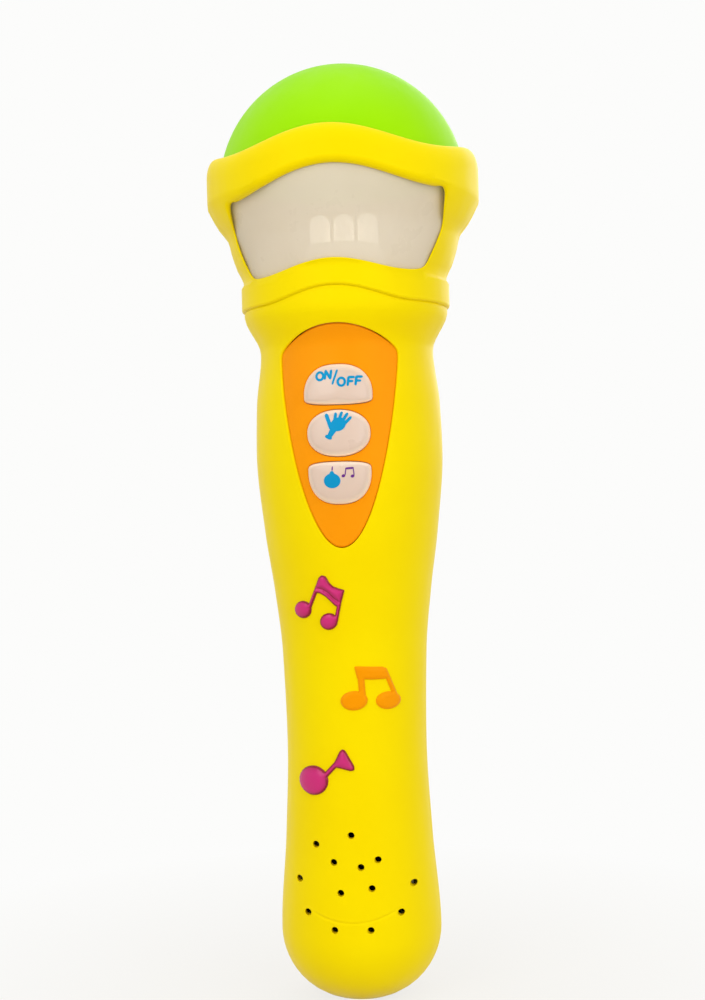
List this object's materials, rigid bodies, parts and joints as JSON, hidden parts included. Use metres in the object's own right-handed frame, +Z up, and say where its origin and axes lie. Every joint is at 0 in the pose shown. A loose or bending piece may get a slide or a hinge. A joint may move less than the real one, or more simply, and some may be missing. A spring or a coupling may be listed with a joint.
{
  "type": "toy microphone",
  "caption": "Hand-held toy microphone with a green dome, wavy yellow rings round a milky lamp window, an orange panel with push buttons, raised notes and a round butt with sound holes.",
  "frame": {"origin": "centre of the flat foot under the round butt", "axes": "+Z up along the microphone to the dome, the button side faces -Y, +X to the viewer's right"},
  "size_m": [0.0674, 0.0674, 0.23],
  "materials": {
    "yellow_plastic": "satin moulded",
    "green_plastic": "satin moulded",
    "milky_plastic": "frosted, lets light through",
    "orange_plastic": "satin moulded",
    "cap_plastic": "gloss",
    "purple_plastic": "gloss",
    "note_orange": "gloss",
    "key_rubber": "matte",
    "board_laminate": "solder mask",
    "black_resin": "potted",
    "zinc_steel": "zinc plated",
    "white_plastic": "moulded",
    "clear_lamp": "clear lamp body",
    "black_film": "pressed film",
    "cell_can": "wrapped can",
    "contact_metal": "nickel plated",
    "red_wire": "insulated",
    "black_wire": "insulated",
    "white_wire": "insulated"
  },
  "bodies": {
    "casing": {"front_shell": "yellow_plastic", "rear_shell": "yellow_plastic", "dome_cap": "green_plastic", "light_diffuser": "milky_plastic", "control_panel": "orange_plastic", "note_upper": "purple_plastic", "note_middle": "note_orange", "note_lower": "purple_plastic", "key_pad": "key_rubber", "circuit_board": "board_laminate", "chip_blob": "black_resin", "board_screws": "zinc_steel", "lamp_plate": "white_plastic", "leds": "clear_lamp", "speaker_frame": "zinc_steel", "speaker_cone": "black_film", "speaker_magnet": "zinc_steel", "speaker_retainer": "white_plastic", "speaker_screws": "zinc_steel", "battery_left": "cell_can", "battery_right": "cell_can", "contact_bridge": "contact_metal", "contact_positive": "contact_metal", "contact_negative": "contact_metal", "contact_springs": "contact_metal", "shell_screws": "zinc_steel", "speaker_wires": "red_wire", "battery_wires": "black_wire", "lamp_wires": "white_wire"},
    "power_key": {"button_power": "cap_plastic"},
    "applause_key": {"button_applause": "cap_plastic"},
    "music_key": {"button_music": "cap_plastic"},
    "door": {"battery_door": "yellow_plastic", "door_screw": "zinc_steel"}
  },
  "joints": [
    {"name": "power_press", "type": "slide", "parent": "casing", "child": "power_key", "axis": [0, 1, 0], "range_m": [0, 0.0012], "stiffness_N_per_m": 800},
    {"name": "applause_press", "type": "slide", "parent": "casing", "child": "applause_key", "axis": [0, 1, 0], "range_m": [0, 0.0012], "stiffness_N_per_m": 800},
    {"name": "music_press", "type": "slide", "parent": "casing", "child": "music_key", "axis": [0, 1, 0], "range_m": [0, 0.0012], "stiffness_N_per_m": 800},
    {"name": "door_tilt", "type": "hinge", "parent": "casing", "child": "door", "pos_m": [0, 0.0177, 0.0505], "axis": [-1, 0, 0], "range_deg": [0, 70]}
  ]
}
